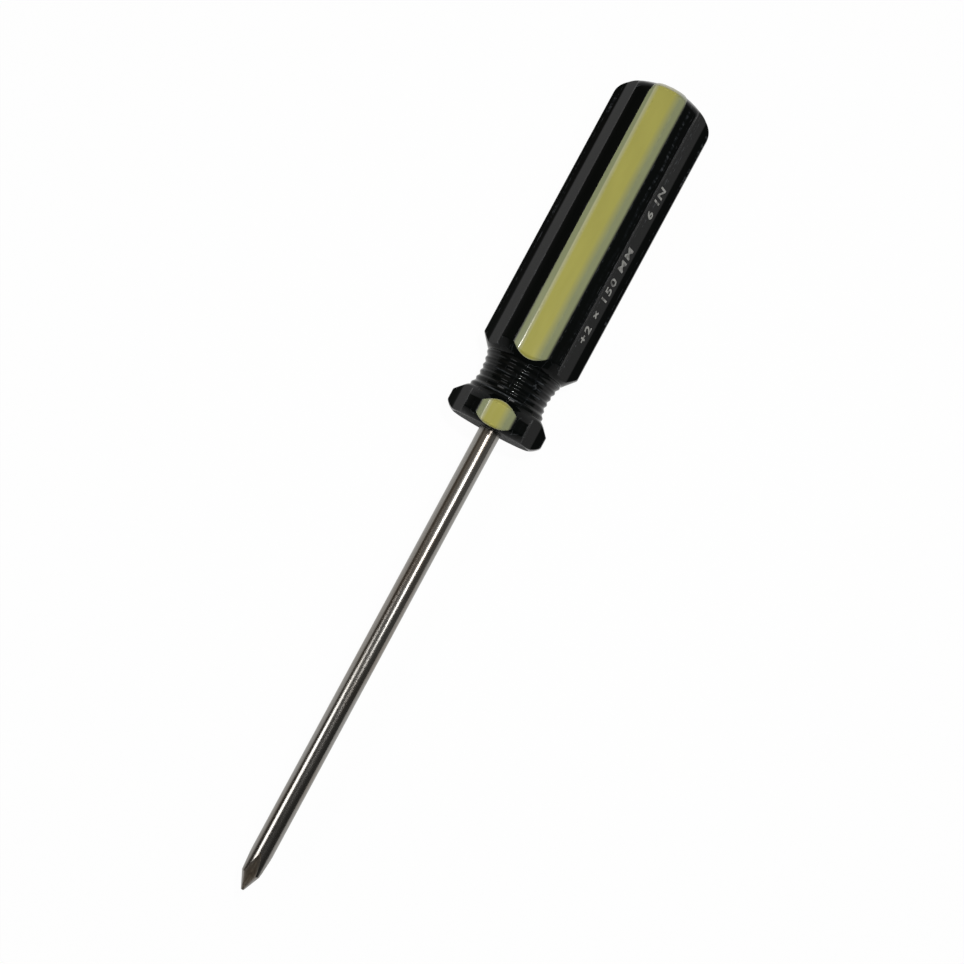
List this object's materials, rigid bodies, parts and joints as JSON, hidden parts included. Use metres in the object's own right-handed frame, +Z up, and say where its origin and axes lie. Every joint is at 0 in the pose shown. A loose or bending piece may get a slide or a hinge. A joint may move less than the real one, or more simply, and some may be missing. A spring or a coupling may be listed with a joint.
{
  "type": "cross-head screwdriver",
  "caption": "Cross-head screwdriver: a round plated steel blade with a ground cross tip, pressed into a black fluted plastic handle with inlaid yellow strips and a ringed neck.",
  "frame": {"origin": "the middle of the bottom of the bounding box, on the surface that the tool lies on", "axes": "+X along the tool from the handle's butt to the blade's tip, +Z up through the middle of the upper yellow strip, +Y to the right when seen from above with the tip pointing down"},
  "size_m": [0.26, 0.0304, 0.0282],
  "materials": {
    "acetate_black": "glossy black cellulose acetate, lightly scuffed",
    "acetate_yellow": "glossy dull yellow cellulose acetate",
    "acetate_pale": "glossy pale grey-green cellulose acetate, thinning to clear at its edge",
    "plated_steel": "bright plated steel bar with fine rubbed wear"
  },
  "bodies": {
    "root": {"handle_body": "acetate_black", "blade": "plated_steel", "collar_stripe_1_core": "acetate_yellow", "collar_stripe_1_edge_left": "acetate_pale", "collar_stripe_1_edge_right": "acetate_pale", "collar_stripe_2_core": "acetate_yellow", "collar_stripe_2_edge_left": "acetate_pale", "collar_stripe_2_edge_right": "acetate_pale", "collar_stripe_3_core": "acetate_yellow", "collar_stripe_3_edge_left": "acetate_pale", "collar_stripe_3_edge_right": "acetate_pale", "body_stripe_1_core": "acetate_yellow", "body_stripe_1_edge_left": "acetate_pale", "body_stripe_1_edge_right": "acetate_pale", "body_stripe_2_core": "acetate_yellow", "body_stripe_2_edge_left": "acetate_pale", "body_stripe_2_edge_right": "acetate_pale", "body_stripe_3_core": "acetate_yellow", "body_stripe_3_edge_left": "acetate_pale", "body_stripe_3_edge_right": "acetate_pale"}
  },
  "joints": []
}
